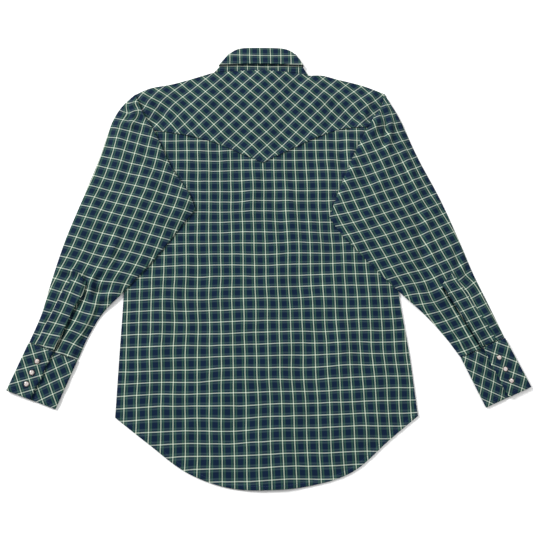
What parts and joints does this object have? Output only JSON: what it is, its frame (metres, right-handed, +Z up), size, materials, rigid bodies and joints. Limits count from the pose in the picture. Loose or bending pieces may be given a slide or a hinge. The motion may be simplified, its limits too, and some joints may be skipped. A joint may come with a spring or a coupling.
{
  "type": "western snap shirt",
  "caption": "Long-sleeved plaid western shirt laid flat on its front, with a pointed back yoke, a folded collar and pearl snaps on the cuffs.",
  "frame": {"origin": "centre of the shirt's footprint on the surface that it lies on", "axes": "+Z up out of the back, +Y towards the collar, +X towards the wearer's right sleeve"},
  "size_m": [0.93, 0.854, 0.0102],
  "materials": {
    "shirting": "yarn-dyed plaid cotton shirting, straight grain, matte",
    "shirting_bias": "the same plaid shirting cut on the bias, matte",
    "snap": "pearl cap in a bright metal ring, polished"
  },
  "bodies": {
    "root": {"front_left": "shirting", "front_right": "shirting", "back_panel": "shirting", "back_yoke": "shirting_bias", "collar_stand": "shirting", "collar_leaf": "shirting", "sleeve_left": "shirting", "sleeve_right": "shirting", "placket_left": "shirting", "placket_right": "shirting", "cuff_left": "shirting_bias", "cuff_right": "shirting_bias", "cuff_snap_left_1": "snap", "cuff_snap_left_2": "snap", "cuff_snap_left_3": "snap", "cuff_snap_right_1": "snap", "cuff_snap_right_2": "snap", "cuff_snap_right_3": "snap", "front_snap_1": "snap", "front_snap_2": "snap", "front_snap_3": "snap", "front_snap_4": "snap", "front_snap_5": "snap", "front_snap_6": "snap", "front_snap_7": "snap"}
  },
  "joints": []
}
